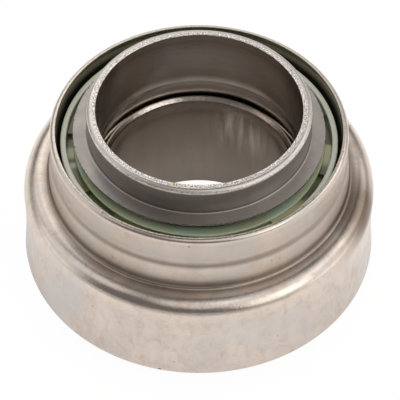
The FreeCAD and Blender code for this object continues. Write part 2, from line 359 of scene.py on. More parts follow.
@dataclass(frozen=True)
class BurrTree:
    """Node tree that sets small torn burrs along a round edge."""

    roundness: int = 2
    seed: int = 21
    least_stretch: tuple[float, float, float] = (0.4, 0.4, 0.4)
    most_stretch: tuple[float, float, float] = (1.4, 1.0, 0.8)

    def build(self) -> Tree:
        """Build the tree.

        Returns:
            A tree whose inputs are an empty start, the edge's radius and height, the number of places, the
            share of them that have a burr, the burrs' size and the material.
        """
        inputs = {"Start": "Geometry", "Radius": "Float", "Height": "Float", "Share": "Float",
                  "Size": "Float", "Places": "Int", "Material": "Material"}
        tree, given = shape_tree("edge_burrs", inputs)
        edge = add_node(tree, "GeometryNodeCurvePrimitiveCircle",
                        {"Resolution": given["Places"], "Radius": given["Radius"]}, mode="RADIUS")
        spots = add_node(tree, "GeometryNodeCurveToPoints",
                         {"Curve": edge.outputs["Curve"], "Count": given["Places"]}, mode="COUNT")
        level = add_node(tree, "ShaderNodeCombineXYZ", {"Z": given["Height"]})
        raised = add_node(tree, "GeometryNodeSetPosition",
                          {"Geometry": spots.outputs["Points"], "Offset": level.outputs[0]})
        burr = add_node(tree, "GeometryNodeMeshIcoSphere",
                        {"Radius": given["Size"], "Subdivisions": self.roundness})
        chosen = add_node(tree, "FunctionNodeRandomValue", {"Probability": given["Share"], "Seed": self.seed},
                          data_type="BOOLEAN")
        stretch = add_node(tree, "FunctionNodeRandomValue",
                           {"Min": self.least_stretch, "Max": self.most_stretch, "Seed": self.seed + 1},
                           data_type="FLOAT_VECTOR")
        turn = add_node(tree, "FunctionNodeRandomValue",
                        {"Min": (0.0, 0.0, 0.0), "Max": (math.tau, math.tau, math.tau),
                         "Seed": self.seed + 2}, data_type="FLOAT_VECTOR")
        set_out = add_node(tree, "GeometryNodeInstanceOnPoints",
                           {"Points": raised.outputs[0], "Selection": chosen.outputs["Value"],
                            "Instance": burr.outputs["Mesh"], "Rotation": turn.outputs["Value"],
                            "Scale": stretch.outputs["Value"]})
        whole = add_node(tree, "GeometryNodeRealizeInstances", {"Geometry": set_out.outputs[0]})
        torn = add_node(tree, "GeometryNodeStoreNamedAttribute",
                        {"Geometry": whole.outputs[0], "Name": "wear_and_highlight", "Value": 1.0}, data_type="FLOAT")
        dressed = add_node(tree, "GeometryNodeSetMaterial",
                           {"Geometry": torn.outputs[0], "Material": given["Material"]})
        add_node(tree, "NodeGroupOutput", {"Piece": dressed.outputs[0]})
        return tree


@dataclass(frozen=True)
class BearingSizes:
    """Sizes that the sub-assemblies share, in millimetres, as the solids have them."""

    bore_radius: float = 13.0
    ring_sheet: float = 1.25
    race_radius: float = 3.95
    race_end_angle: float = 55.0
    foot_below_race: float = 0.2
    flare_offset: float = 0.4
    collar_above_rim: float = 3.5
    ball_diameter: float = 3.7
    ball_count: int = 10
    contact_angle: float = 42.0
    race_clearance: float = 0.08
    shell_sheet: float = 0.8
    shell_base_z: float = 4.0
    skirt_height: float = 12.5
    neck_taper: float = 7.0
    ball_above_shoulder: float = 2.63
    rim_above_ball: float = 5.62
    waist_step: float = 0.375
    press_gap: float = 0.02

    @property
    def shoulder_z(self) -> float:
        """Height of the shell's shoulder."""
        return self.shell_base_z + self.skirt_height

    @property
    def ball_z(self) -> float:
        """Height of the balls' centres."""
        return self.shoulder_z + self.ball_above_shoulder

    @property
    def rim_z(self) -> float:
        """Height of the neck's rim."""
        return self.ball_z + self.rim_above_ball

    @property
    def collar_z(self) -> float:
        """Height of the collar's rim."""
        return self.rim_z + self.collar_above_rim

    @property
    def ball_radius(self) -> float:
        """Radius of a ball."""
        return self.ball_diameter / 2

    @property
    def collar_radius(self) -> float:
        """Outer radius of the collar."""
        return self.bore_radius + self.ring_sheet

    @property
    def lip_bore_radius(self) -> float:
        """Inner radius of the ring's lip."""
        return self.bore_radius + self.flare_offset

    @property
    def race_centre_radius(self) -> float:
        """Radius of the circle that the race's arc is struck from."""
        return self.collar_radius + self.race_radius

    @property
    def ball_to_race_centre(self) -> float:
        """Distance from a ball's centre to the race arc's centre."""
        return self.race_radius - self.ball_radius - self.race_clearance

    @property
    def pitch_radius(self) -> float:
        """Radius of the circle through the balls' centres."""
        return self.race_centre_radius - self.ball_to_race_centre * math.cos(math.radians(self.contact_angle))

    @property
    def race_centre_z(self) -> float:
        """Height that the race's arc is struck from."""
        return self.ball_z + self.ball_to_race_centre * math.sin(math.radians(self.contact_angle))

    @property
    def race_end_z(self) -> float:
        """Height where the ring's race ends."""
        return self.race_centre_z - self.race_radius * math.sin(math.radians(self.race_end_angle))

    @property
    def ring_foot_z(self) -> float:
        """Height of the ring's lower end."""
        return self.race_end_z - self.foot_below_race

    @property
    def track_radius(self) -> float:
        """Radius of the shell's ball track about a ball's centre."""
        return self.ball_radius + self.race_clearance

    @property
    def neck_bore(self) -> float:
        """Neck's inner radius above the balls."""
        return self.pitch_radius + self.track_radius - self.waist_step

    def neck_cone_radius(self, from_track: float, height: float) -> float:
        """Work out the radius of the neck's lower cone.

        Args:
            from_track: distance outside the shell's ball track.
            height: height of the point.

        Returns:
            The radius at that height.
        """
        taper = math.radians(self.neck_taper)
        reach = (self.track_radius + from_track) / math.cos(taper)
        return self.pitch_radius + reach - (height - self.ball_z) * math.tan(taper)


@dataclass(frozen=True)
class Spot:
    """Where a point of a piece lies, in millimetres: its place, and its radius, height and heading."""

    place: Socket
    radius: Socket
    height: Socket
    heading: Socket


@dataclass(frozen=True)
class Coat:
    """A colour laid over what is below it.

    Its share goes from first to last as its value goes from start to end, and each mask multiplies it.
    """

    colour: str | Socket
    value: Socket
    start: float = 0.0
    end: float = 1.0
    first_share: float = 0.0
    last_share: float = 1.0
    masks: tuple[Socket, ...] = ()
    ease: Ease = Ease.EVEN


@dataclass(frozen=True)
class Finish:
    """What every finish has: a name, and a material made from it."""

    name: str

    def start(self) -> tuple[bpy.types.Material, Tree, bpy.types.Node, Socket]:
        """Begin a material.

        Returns:
            The material, its tree, its shader and the object coordinates in millimetres.
        """
        material = bpy.data.materials.new(self.name)
        tree = empty_tree(material)
        shader = add_node(tree, "ShaderNodeBsdfPrincipled")
        add_node(tree, "ShaderNodeOutputMaterial", {"Surface": shader.outputs[0]})
        place = add_node(tree, "ShaderNodeTexCoord")
        millimetres = add_node(tree, "ShaderNodeVectorMath", {0: place.outputs["Object"], "Scale": 1 / MM},
                               operation="SCALE")
        return material, tree, shader, millimetres.outputs[0]

    def locate(self, tree: Tree, place: Socket) -> Spot:
        """Work out where a point lies about the axis.

        Args:
            tree: the material's tree.
            place: coordinates in millimetres.

        Returns:
            The point's place, radius, height and heading.
        """
        level = add_node(tree, "ShaderNodeVectorMath", {0: place, 1: (1.0, 1.0, 0.0)},
                         operation="MULTIPLY").outputs[0]
        radius = add_node(tree, "ShaderNodeVectorMath", {0: level}, operation="LENGTH")
        height = add_node(tree, "ShaderNodeSeparateXYZ", {0: place})
        heading = add_node(tree, "ShaderNodeVectorMath", {0: level}, operation="NORMALIZE")
        return Spot(place, radius.outputs["Value"], height.outputs["Z"], heading.outputs[0])

    def region(self, tree: Tree, *edges: tuple[Socket, float, float], ease: Ease = Ease.EVEN) -> Socket:
        """Mark the part of a piece that lies past every given edge.

        Args:
            tree: the material's tree.
            edges: a value, the level where it starts to count and the level where it counts in full.
            ease: how the mark changes across an edge.

        Returns:
            A socket that is 1 in the region and 0 outside it.
        """
        marked = None
        for value, start, end in edges:
            past = add_node(tree, "ShaderNodeMapRange", {"Value": value, "From Min": start, "From Max": end},
                            interpolation_type=ease.value).outputs[0]
            if marked is None:
                marked = past
            else:
                both = add_node(tree, "ShaderNodeMath", {0: marked, 1: past}, operation="MULTIPLY")
                marked = both.outputs[0]
        return marked

    def coated(self, tree: Tree, base: Any, coats: list[Coat]) -> Socket:
        """Lay coats of colour over a base.

        Args:
            tree: the material's tree.
            base: the base's colour or socket.
            coats: the coats, from the lowest up.

        Returns:
            The socket of the colour that shows.
        """
        for coat in coats:
            share = add_node(tree, "ShaderNodeMapRange",
                             {"Value": coat.value, "From Min": coat.start, "From Max": coat.end,
                              "To Min": coat.first_share, "To Max": coat.last_share},
                             interpolation_type=coat.ease.value).outputs[0]
            for mask in coat.masks:
                share = add_node(tree, "ShaderNodeMath", {0: share, 1: mask}, operation="MULTIPLY").outputs[0]
            colour = linear(coat.colour) if isinstance(coat.colour, str) else coat.colour
            base = add_node(tree, "ShaderNodeMix", {"Factor": share, "A": base, "B": colour},
                            data_type="RGBA").outputs["Result"]
        return base

    def material(self) -> bpy.types.Material:
        """Make the material."""
        raise NotImplementedError


@dataclass(frozen=True)
class Steel(Finish):
    """Sheet steel: clouded and mottled, with tumbled or rubbed grain, tiny pits and torn, granular edges with
    painted glints.
    """

    light: str = "cabeb6"
    warm: str = "bfb2aa"
    dull: str = "a89c92"
    cool: str = "bab7b6"
    cool_share: float = 0.75
    stain_edge: float = 0.53
    # Dark of the pits; the shell also lays it as painted shade in its recesses and as a painted dark
    # reflection on its shoulder.
    pit: str = "6b5d52"
    # Bright and dark granules of the bare edges, which paint glints along with the wear.
    worn: str = "f4efe9"
    torn: str = "b4aaa0"
    straw: str = "c9a25a"
    straw_azimuth: float = -103.0
    straw_reach: float = 0.06
    straw_share: float = 0.5
    roughness: float = 0.17
    sheared_gloss: float = 0.14
    cloud_size: float = 5.0
    cloud_stretch: float = 1.6
    mottle_size: float = 1.3
    mottle_share: float = 0.55
    pit_spacing: float = 1.4
    # Grain too fine to show in the render is drawn as coarse as it needs to be to show.
    grain_size: float = 0.3
    granule_size: float = 0.17
    granule_relief: float = 0.05
    line_spacing: float = 0.5
    line_share: float = 0.6
    relief: float = 0.018

    def by_height(self, tree: Tree, height: Socket, levels: Levels, top: float, shift: float = 0.0) -> Socket:
        """Give a value that changes with height.

        Args:
            tree: the material's tree.
            height: the height's socket.
            levels: height and value of each level, from the lowest up.
            top: height of the part's top.
            shift: how far the height's socket runs high.

        Returns:
            The value's socket.
        """
        share = add_node(tree, "ShaderNodeMapRange",
                         {"Value": height, "From Min": shift, "From Max": top + shift})
        ramp = add_node(tree, "ShaderNodeValToRGB", {"Fac": share.outputs[0]})
        stops = ramp.color_ramp.elements
        for stop in list(stops)[1:]:
            stops.remove(stop)
        for index, (level, value) in enumerate(levels):
            stop = stops[0] if index == 0 else stops.new(level / top)
            stop.position = level / top
            stop.color = (value, value, value, 1.0)
        return ramp.outputs["Color"]

    def clouds(self, tree: Tree, place: Socket) -> tuple[Socket, Socket]:
        """Colour the sheet with warm clouds, dull mottling and cool stains with a dark outline.

        Args:
            tree: the material's tree.
            place: coordinates in millimetres.

        Returns:
            The colour's socket and the cloud's value.
        """
        drawn = add_node(tree, "ShaderNodeVectorMath", {0: place, 1: (1.0, 1.0, 1 / self.cloud_stretch)},
                         operation="MULTIPLY").outputs[0]
        cloud = add_node(tree, "ShaderNodeTexNoise", {"Vector": drawn, "Scale": 1 / self.cloud_size,
                                                      "Detail": 6.0, "Roughness": 0.62}).outputs[0]
        stain = add_node(tree, "ShaderNodeTexNoise", {"Vector": drawn, "Scale": 0.5 / self.cloud_size,
                                                      "Detail": 4.0, "Distortion": 1.2}).outputs[0]
        mottle = add_node(tree, "ShaderNodeTexNoise", {"Vector": drawn, "Scale": 1 / self.mottle_size,
                                                       "Detail": 5.0, "Roughness": 0.7}).outputs[0]
        aside = add_node(tree, "ShaderNodeMath", {0: stain, 1: self.stain_edge},
                         operation="SUBTRACT").outputs[0]
        outline = add_node(tree, "ShaderNodeMath", {0: aside}, operation="ABSOLUTE").outputs[0]
        colour = self.coated(tree, linear(self.light), [
            Coat(self.warm, cloud, 0.4, 0.66),
            Coat(self.dull, mottle, 0.48, 0.68, last_share=self.mottle_share),
            Coat(self.cool, stain, 0.5, 0.68, last_share=self.cool_share),
            Coat(self.dull, outline, 0.0, 0.008, self.mottle_share * 0.6, 0.0),
        ])
        return colour, cloud

    def pits(self, tree: Tree, place: Socket) -> Socket:
        """Scatter tiny pits.

        Args:
            tree: the material's tree.
            place: coordinates in millimetres.

        Returns:
            A socket that is 1 in a pit.
        """
        away = add_node(tree, "ShaderNodeTexVoronoi", {"Vector": place, "Scale": 1 / self.pit_spacing})
        rare = add_node(tree, "ShaderNodeTexNoise", {"Vector": place, "Scale": 0.5 / self.pit_spacing})
        reach = add_node(tree, "ShaderNodeMapRange", {"Value": rare.outputs[0], "From Min": 0.44,
                                                      "From Max": 0.75, "To Max": 0.16})
        inside = add_node(tree, "ShaderNodeMath", {0: reach.outputs[0], 1: away.outputs["Distance"]},
                          operation="SUBTRACT")
        return self.region(tree, (inside.outputs[0], 0.0, 0.05))

    def stains(self, tree: Tree, spot: Spot) -> list[Coat]:
        """Give the coats of what has dried on the sheet."""
        raise NotImplementedError

    def added_roughness(self, tree: Tree, spot: Spot) -> Socket:
        """Give what is added to the sheet's roughness from place to place."""
        raise NotImplementedError

    def bumps(self, tree: Tree, spot: Spot, pits: Socket, torn: Socket) -> Socket:
        """Raise grain and faint lines round the axis, sink the pits and roughen the sheared bands.

        Args:
            tree: the material's tree.
            spot: where the point lies.
            pits: 1 in a pit.
            torn: height of the granules in a sheared band.

        Returns:
            The normal's socket.
        """
        grain = add_node(tree, "ShaderNodeTexNoise", {"Vector": spot.place, "Scale": 1 / self.grain_size,
                                                      "Detail": 3.0, "Roughness": 0.6}).outputs[0]
        rows = add_node(tree, "ShaderNodeCombineXYZ", {"X": spot.radius, "Z": spot.height}).outputs[0]
        drift = add_node(tree, "ShaderNodeVectorMath", {0: spot.place, 1: (0.03, 0.03, 0.03), 2: rows},
                         operation="MULTIPLY_ADD").outputs[0]
        lines = add_node(tree, "ShaderNodeTexNoise", {"Vector": drift, "Scale": 1 / self.line_spacing,
                                                      "Detail": 3.0}).outputs[0]
        lined = add_node(tree, "ShaderNodeMath", {0: lines, 1: self.line_share, 2: grain},
                         operation="MULTIPLY_ADD").outputs[0]
        pocked = add_node(tree, "ShaderNodeMath", {0: lined, 1: pits}, operation="SUBTRACT").outputs[0]
        fine = add_node(tree, "ShaderNodeBump", {"Height": pocked, "Strength": 0.8,
                                                 "Distance": self.relief * MM}).outputs[0]
        coarse = add_node(tree, "ShaderNodeBump", {"Height": torn, "Strength": 1.0, "Normal": fine,
                                                   "Distance": self.granule_relief * MM})
        return coarse.outputs[0]

    def material(self) -> bpy.types.Material:
        """Make the material.

        Returns:
            Satin steel with clouds, pits, grain, faint lines round the axis and rough sheared bands with
            painted glints.
        """
        material, tree, shader, place = self.start()
        spot = self.locate(tree, place)
        colour, cloud = self.clouds(tree, place)
        pits = self.pits(tree, place)
        edge_wear_and_highlight = add_node(tree, "ShaderNodeAttribute", attribute_name="wear_and_highlight").outputs["Fac"]
        granules = add_node(tree, "ShaderNodeTexNoise", {"Vector": place, "Scale": 1 / self.granule_size,
                                                         "Detail": 2.0}).outputs[0]
        torn = add_node(tree, "ShaderNodeMath", {0: edge_wear_and_highlight, 1: granules}, operation="MULTIPLY").outputs[0]
        aside = add_node(tree, "ShaderNodeVectorMath", {0: spot.heading, 1: heading_at(self.straw_azimuth)},
                         operation="DISTANCE").outputs["Value"]
        # The bare edges mix bright and dark granules, which paint glints; where the wear share rises and
        # falls across a round it paints highlight lines.
        bare_with_glints = self.coated(tree, linear(self.torn), [Coat(self.worn, granules, 0.36, 0.64)])
        coats = [
            Coat(self.pit, pits),
            Coat(bare_with_glints, edge_wear_and_highlight, end=0.8),
            Coat(self.straw, aside, 0.0, self.straw_reach, self.straw_share, 0.0, masks=(edge_wear_and_highlight,)),
        ]
        colour = self.coated(tree, colour, coats + self.stains(tree, spot))
        tree.links.new(colour, shader.inputs["Base Color"])
        shader.inputs["Metallic"].default_value = 1.0

        clouded = add_node(tree, "ShaderNodeMapRange",
                           {"Value": cloud, "From Min": 0.3, "From Max": 0.75,
                            "To Min": self.roughness - 0.04, "To Max": self.roughness + 0.08}).outputs[0]
        dulled = add_node(tree, "ShaderNodeMath", {0: self.added_roughness(tree, spot), 1: clouded},
                          operation="ADD").outputs[0]
        rough = add_node(tree, "ShaderNodeMath", {0: edge_wear_and_highlight, 1: -self.sheared_gloss, 2: dulled},
                         operation="MULTIPLY_ADD")
        tree.links.new(rough.outputs[0], shader.inputs["Roughness"])
        tree.links.new(self.bumps(tree, spot, pits, torn), shader.inputs["Normal"])
        return material


@dataclass(frozen=True)
class ShellSteel(Steel):
    """Low-carbon steel sheet, deep drawn and tumbled: satin, warm grey, bluish clouds, recesses darkened with
    dirt and painted shade, and a painted dark reflection on the shoulder.
    """

    # Radius, height, reach and share of the dirt and painted shade in each hollow.
    hollow_dirt_and_shade: tuple[tuple[float, float, float, float], ...] = (
        (19.9, 16.95, 1.3, 0.72), (19.15, 20.3, 0.85, 0.6))
    hollow_ragged: float = 0.3
    patina: str = "c6bba9"
    patina_share: float = 0.18
    patina_z: float = 13.5
    neck_z: float = 17.2
    neck_dull: float = 0.3
    top: float = 24.75
    rough_levels: Levels = (
        (0.0, 0.07), (13.6, 0.07), (14.6, 0.0), (16.5, 0.0), (16.75, 0.19), (23.9, 0.19), (24.2, 0.0))
    inside_radius: float = 18.3
    grease: str = "55533f"
    grease_share: float = 0.65
    # Where and how strongly a painted dark reflection darkens a patch of the shoulder.
    patch_azimuth: float = -18.0
    patch_radius: float = 22.0
    patch_z: float = 16.0
    patch_core: float = 3.0
    patch_reach: float = 9.5
    patch_ragged: float = 3.0
    patch_darkness: float = 0.9

    def stains(self, tree: Tree, spot: Spot) -> list[Coat]:
        """Darken the recesses that tumbling misses with dirt and painted shade, paint a dark reflection on a
        patch of the shoulder, and grease the neck's inside.

        Args:
            tree: the material's tree.
            spot: where the point lies.

        Returns:
            Coats of patina, dull wall, dirt with painted shade, the painted dark reflection, and grease.
        """
        coats = [
            Coat(self.patina, spot.height, self.patina_z, self.patina_z + 2.0, last_share=self.patina_share),
            Coat(self.dull, spot.height, self.neck_z, self.neck_z + 0.5, last_share=self.neck_dull),
        ]
        ragged = add_node(tree, "ShaderNodeTexNoise", {"Vector": spot.place, "Scale": 0.3,
                                                       "Detail": 2.0}).outputs[0]
        section = add_node(tree, "ShaderNodeCombineXYZ", {"X": spot.radius, "Y": spot.height}).outputs[0]
        # Each recess is darkened by dirt and painted shade.
        for radius, height, reach, share in self.hollow_dirt_and_shade:
            away = add_node(tree, "ShaderNodeVectorMath", {0: section, 1: (radius, height, 0.0)},
                            operation="DISTANCE").outputs["Value"]
            edge = add_node(tree, "ShaderNodeMath", {0: ragged, 1: self.hollow_ragged, 2: away},
                            operation="MULTIPLY_ADD").outputs[0]
            coats.append(Coat(self.pit, edge, reach * 0.3, reach, share, 0.0, ease=Ease.SOFT))
        coats.append(Coat(self.grease, spot.radius, self.inside_radius, self.inside_radius + 0.08,
                          self.grease_share, 0.0))

        # A patch of the shoulder is darkened: a painted dark reflection.
        centre = Vector(heading_at(self.patch_azimuth)) * self.patch_radius + Vector((0.0, 0.0, self.patch_z))
        away = add_node(tree, "ShaderNodeVectorMath", {0: spot.place, 1: centre},
                        operation="DISTANCE").outputs["Value"]
        edge = add_node(tree, "ShaderNodeMath", {0: ragged, 1: self.patch_ragged, 2: away},
                        operation="MULTIPLY_ADD").outputs[0]
        shoulder = self.region(tree, (spot.height, self.neck_z - 4.0, self.neck_z - 2.6),
                               (spot.height, self.neck_z + 0.4, self.neck_z))
        coats.append(Coat(self.pit, edge, self.patch_core, self.patch_reach, self.patch_darkness, 0.0,
                          masks=(shoulder,), ease=Ease.SOFT))
        return coats

    def added_roughness(self, tree: Tree, spot: Spot) -> Socket:
        """Roughen the skirt and more so the neck's wall, and leave the shoulder and the rim burnished.

        Args:
            tree: the material's tree.
            spot: where the point lies.

        Returns:
            The socket of what is added.
        """
        return self.by_height(tree, spot.height, self.rough_levels, self.top)


@dataclass(frozen=True)
class RingSteel(Steel):
    """Steel of the ring, the washer and the sleeve: darker grey, drawn smooth, rubbed, filmed with oil, with
    light and dark reflection bands painted in the bore.
    """

    light: str = "c0b9b4"
    warm: str = "b4aca7"
    dull: str = "a59d98"
    cool: str = "b9b5b3"
    # Bright and dark granules of the bare edges, which paint glints along with the wear.
    worn: str = "faf6f1"
    torn: str = "8a817a"
    patina: str = "cbb49c"
    patina_share: float = 0.15
    # Old oil inside the ring and the sleeve, laid by height in bands that also paint light and dark
    # reflections on the bore, the flare and the sleeve's mouth.
    oil: str = "6b5a48"
    oil_within: float = 13.55
    top: float = 28.25
    oil_and_reflection_levels: Levels = (
        (0.0, 0.2), (3.5, 0.25), (8.9, 0.55), (13.0, 0.7), (14.7, 0.85), (15.1, 0.72), (15.6, 0.3),
        (16.0, 0.0), (16.4, 0.0), (16.65, 0.2), (16.9, 0.2), (17.0, 0.0), (17.6, 0.0), (18.0, 0.7),
        (18.5, 0.72), (19.0, 0.45), (19.5, 0.18), (19.95, 0.12), (20.3, 0.4), (20.65, 0.62), (21.05, 0.66),
        (21.8, 0.56), (22.55, 0.36), (23.7, 0.22), (24.6, 0.05), (25.6, 0.0), (26.7, 0.1), (27.0, 0.35),
        (27.3, 0.1), (27.9, 0.0))
    film: str = "5f5a58"
    film_share: float = 0.5
    washer_share: float = 0.36
    film_within: float = 14.4
    film_top: float = 27.75
    film_fade: float = 0.3
    scuff: str = "cfc6bc"
    scuff_share: float = 0.65
    scuff_place: tuple[float, float, float] = (6.0, 10.5, 12.4)
    scuff_reach: float = 6.5
    scuff_width: float = 0.9
    scuff_stretch: float = 0.12
    roughness: float = 0.2
    outer_from: float = 13.7
    outer_roughness: float = 0.16
    cloud_size: float = 3.5
    cloud_stretch: float = 4.0
    pit_spacing: float = 2.2
    grain_size: float = 0.5
    line_share: float = 0.25
    relief: float = 0.007
    mottle_share: float = 0.2

    def stains(self, tree: Tree, spot: Spot) -> list[Coat]:
        """Brown the bore with old oil in bands that also paint its light and dark reflections, film the
        collar's wall, and leave sliding marks bright.

        Args:
            tree: the material's tree.
            spot: where the point lies.

        Returns:
            Coats of patina, oil with painted reflection bands, film and scuffs.
        """
        ragged = add_node(tree, "ShaderNodeTexNoise", {"Vector": spot.place, "Scale": 0.5,
                                                       "Detail": 4.0}).outputs[0]
        wander = add_node(tree, "ShaderNodeMath", {0: ragged, 1: 0.5, 2: spot.height},
                          operation="MULTIPLY_ADD").outputs[0]
        # The oil share by height also paints reflection bands.
        oil_and_reflection_share = self.by_height(tree, wander, self.oil_and_reflection_levels, self.top, shift=0.25)
        film_end = self.film_top + self.film_fade
        oil_end = self.oil_within + 0.1
        inside = self.region(tree, (spot.radius, oil_end, self.oil_within))
        filmed = self.region(tree, (spot.radius, self.oil_within, oil_end),
                             (spot.height, film_end, self.film_top))

        along = add_node(tree, "ShaderNodeVectorMath", {0: spot.place, 1: (1.0, 1.0, self.scuff_stretch)},
                         operation="MULTIPLY").outputs[0]
        streaks = add_node(tree, "ShaderNodeTexNoise", {"Vector": along, "Scale": 1 / self.scuff_width,
                                                        "Detail": 3.0}).outputs[0]
        rubbed = self.region(tree, (streaks, 0.4, 0.7))
        away = add_node(tree, "ShaderNodeVectorMath", {0: spot.place, 1: self.scuff_place},
                        operation="DISTANCE").outputs["Value"]
        return [
            Coat(self.patina, spot.height, self.film_top, film_end, self.patina_share, 0.0, masks=(inside,)),
            Coat(self.oil, oil_and_reflection_share, masks=(inside,)),
            Coat(self.film, spot.radius, self.film_within, self.film_within + 0.1, self.film_share,
                 self.washer_share, masks=(filmed,)),
            Coat(self.scuff, away, self.scuff_reach * 0.25, self.scuff_reach, self.scuff_share, 0.0,
                 masks=(rubbed,), ease=Ease.SOFT),
        ]

    def added_roughness(self, tree: Tree, spot: Spot) -> Socket:
        """Roughen the outside, which no shaft rubs.

        Args:
            tree: the material's tree.
            spot: where the point lies.

        Returns:
            The socket of what is added.
        """
        outer = add_node(tree, "ShaderNodeMapRange", {"Value": spot.radius, "From Min": self.outer_from,
                                                      "From Max": self.outer_from + 0.3,
                                                      "To Max": self.outer_roughness})
        return outer.outputs[0]


@dataclass(frozen=True)
class CageNylon(Finish):
    """Light green polyamide, injection moulded: waxy, slightly translucent, with dark grease in its trough,
    glints painted on the grease and a rim painted paler as lit.
    """

    green: str = "9ea587"
    bluish: str = "9cab97"
    # Colour of the rim's top, painted paler as lit.
    painted_lit_rim: str = "b7b9ab"
    grease: str = "4f5134"
    # Colour of the glints painted on the grease.
    painted_glint: str = "a3a07c"
    ior: float = 1.53
    roughness: float = 0.4
    wet_gloss: float = 0.22
    subsurface: float = 0.25
    subsurface_reach: tuple[float, float, float] = (0.6, 1.0, 0.4)
    patch_size: float = 5.0
    lump_relief: float = 0.1
    trough_inner: float = 16.1
    trough_outer: float = 17.0
    rim_z: float = 22.35
    # Heading, half width and share of each glint painted on the grease; the widest, at -57, is a painted pool
    # of light.
    painted_glint_marks: Marks = ((-9.0, 9.0, 0.9), (-173.0, 4.5, 1.0), (-164.5, 3.5, 0.7), (60.0, 6.0, 0.3),
                         (132.0, 7.0, 0.3), (-84.0, 9.0, 0.5), (-57.0, 26.0, 0.85))
    # Heading, half width and share of each stretch that is darker below the rim.
    darker_marks: Marks = ((-142.0, 55.0, 0.85), (170.0, 40.0, 0.6), (100.0, 40.0, 0.6))

    def marks(self, tree: Tree, heading: Socket, places: Marks) -> Socket:
        """Mark places round the axis.

        Args:
            tree: the material's tree.
            heading: the point's heading from the axis.
            places: azimuth, half width in degrees and share of each place.

        Returns:
            A socket that is each place's share at its middle and 0 outside.
        """
        total = None
        for azimuth, half_width, share in places:
            reach = math.radians(half_width)
            aside = add_node(tree, "ShaderNodeVectorMath", {0: heading, 1: heading_at(azimuth)},
                             operation="DISTANCE")
            mark = add_node(tree, "ShaderNodeMapRange",
                            {"Value": aside.outputs["Value"], "From Min": reach * 0.4, "From Max": reach,
                             "To Min": share, "To Max": 0.0}, interpolation_type=Ease.SOFT.value).outputs[0]
            if total is None:
                total = mark
            else:
                total = add_node(tree, "ShaderNodeMath", {0: total, 1: mark}, operation="MAXIMUM").outputs[0]
        return total

    def material(self) -> bpy.types.Material:
        """Make the material.

        Returns:
            Waxy light green plastic with bluish flow patches, a rim painted paler as lit, grease in the
            trough with glints painted on it, and stretches that are darker below the rim.
        """
        material, tree, shader, place = self.start()
        spot = self.locate(tree, place)
        flow = add_node(tree, "ShaderNodeTexNoise", {"Vector": place, "Scale": 1 / self.patch_size,
                                                     "Detail": 2.0, "Distortion": 0.6}).outputs[0]
        smear = add_node(tree, "ShaderNodeTexNoise", {"Vector": place, "Scale": 3.0 / self.patch_size,
                                                      "Detail": 3.0}).outputs[0]
        soaked = self.region(tree, (spot.radius, self.trough_inner, self.trough_inner + 0.1),
                             (spot.radius, self.trough_outer + 0.08, self.trough_outer - 0.02),
                             (spot.height, self.rim_z + 0.3, self.rim_z + 0.2), ease=Ease.SOFT)
        darkened = self.marks(tree, spot.heading, self.darker_marks)
        filmed = self.marks(tree, spot.heading, self.painted_glint_marks)
        colour = self.coated(tree, linear(self.green), [
            Coat(self.bluish, flow, 0.42, 0.62, ease=Ease.SOFT),
            # The rim's top is painted paler, as lit.
            Coat(self.painted_lit_rim, spot.height, self.rim_z, self.rim_z + 0.3, ease=Ease.SOFT),
            # Darker below the rim at the listed headings.
            Coat(self.grease, spot.height, self.rim_z, self.rim_z - 0.2, masks=(darkened,), ease=Ease.SOFT),
            Coat(self.grease, soaked),
            # Glints painted on the grease.
            Coat(self.painted_glint, soaked, masks=(filmed,)),
        ])
        tree.links.new(colour, shader.inputs["Base Color"])
        shader.inputs["IOR"].default_value = self.ior
        shader.inputs["Subsurface Weight"].default_value = self.subsurface
        shader.inputs["Subsurface Radius"].default_value = self.subsurface_reach
        shader.inputs["Subsurface Scale"].default_value = MM
        gloss = add_node(tree, "ShaderNodeMath", {0: soaked, 1: -self.wet_gloss, 2: self.roughness},
                         operation="MULTIPLY_ADD")
        tree.links.new(gloss.outputs[0], shader.inputs["Roughness"])
        lumps = add_node(tree, "ShaderNodeMath", {0: smear, 1: soaked}, operation="MULTIPLY")
        bump = add_node(tree, "ShaderNodeBump", {"Height": lumps.outputs[0], "Strength": 0.4,
                                                 "Distance": self.lump_relief * MM})
        tree.links.new(bump.outputs[0], shader.inputs["Normal"])
        return material


@dataclass(frozen=True)
class BallSteel(Finish):
    """Through-hardened chromium steel, lapped: a bright mirror under a thin film of grease."""

    bright: str = "cfcdca"
    film: str = "b9ae8e"
    film_from: float = 0.45
    film_full: float = 0.7
    film_patch: float = 1.6
    roughness: float = 0.08
    film_roughness: float = 0.15

    def material(self) -> bpy.types.Material:
        """Make the material.

        Returns:
            Mirror steel with an uneven grease film.
        """
        material, tree, shader, place = self.start()
        patches = add_node(tree, "ShaderNodeTexNoise", {"Vector": place, "Scale": 1 / self.film_patch,
                                                        "Detail": 2.0}).outputs[0]
        film = Coat(self.film, patches, self.film_from, self.film_full)
        colour = self.coated(tree, linear(self.bright), [film])
        tree.links.new(colour, shader.inputs["Base Color"])
        shader.inputs["Metallic"].default_value = 1.0
        gloss = add_node(tree, "ShaderNodeMapRange",
                         {"Value": patches, "From Min": self.film_from, "From Max": self.film_full,
                          "To Min": self.roughness, "To Max": self.roughness + self.film_roughness})
        tree.links.new(gloss.outputs[0], shader.inputs["Roughness"])
        return material


